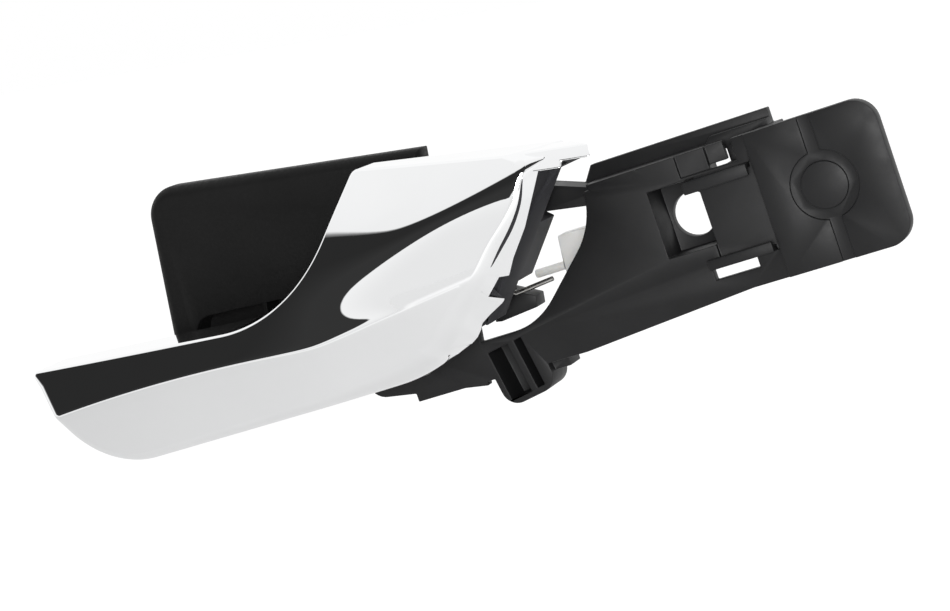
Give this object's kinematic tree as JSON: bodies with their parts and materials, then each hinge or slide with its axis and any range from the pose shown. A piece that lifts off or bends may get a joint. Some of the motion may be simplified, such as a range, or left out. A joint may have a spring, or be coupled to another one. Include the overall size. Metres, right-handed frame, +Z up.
{
  "type": "car interior door handle",
  "caption": "Inside door handle with a chromed pull lever hinged on a black moulded bracket and a grained finger cup behind the grip.",
  "frame": {"origin": "centre of the fixing hole on the face that rests against the door", "axes": "+X along the cup's top edge towards the fixing end, +Y into the door, +Z up"},
  "size_m": [0.1949, 0.0475, 0.0565],
  "materials": {
    "satin_black": "satin moulded",
    "grained_black": "fine leather grain",
    "carrier_black": "plain moulded",
    "bright_chrome": "polished plating",
    "natural_white": "natural unpainted",
    "spring_steel": "drawn wire",
    "pin_steel": "turned",
    "zinc_steel": "zinc plated",
    "buffer_rubber": "matt"
  },
  "bodies": {
    "base": {"bracket": "satin_black", "finger_cup": "grained_black", "cup_screws": "zinc_steel", "rest_buffer": "buffer_rubber", "hinge_pin": "pin_steel", "pin_clip": "pin_steel", "return_spring": "spring_steel"},
    "lever": {"lever_cover": "bright_chrome", "lever_carrier": "carrier_black", "cover_screws": "zinc_steel", "cable_hook": "natural_white"}
  },
  "joints": [
    {"name": "lever_pull", "type": "hinge", "parent": "base", "child": "lever", "pos_m": [-0.0375, -0.005, 0.00315], "axis": [0.527, 0, 0.8499], "range_deg": [0, 30], "stiffness_Nm_per_rad": 0.35, "springref_deg": -25.78, "deforming": ["return_spring"]}
  ]
}
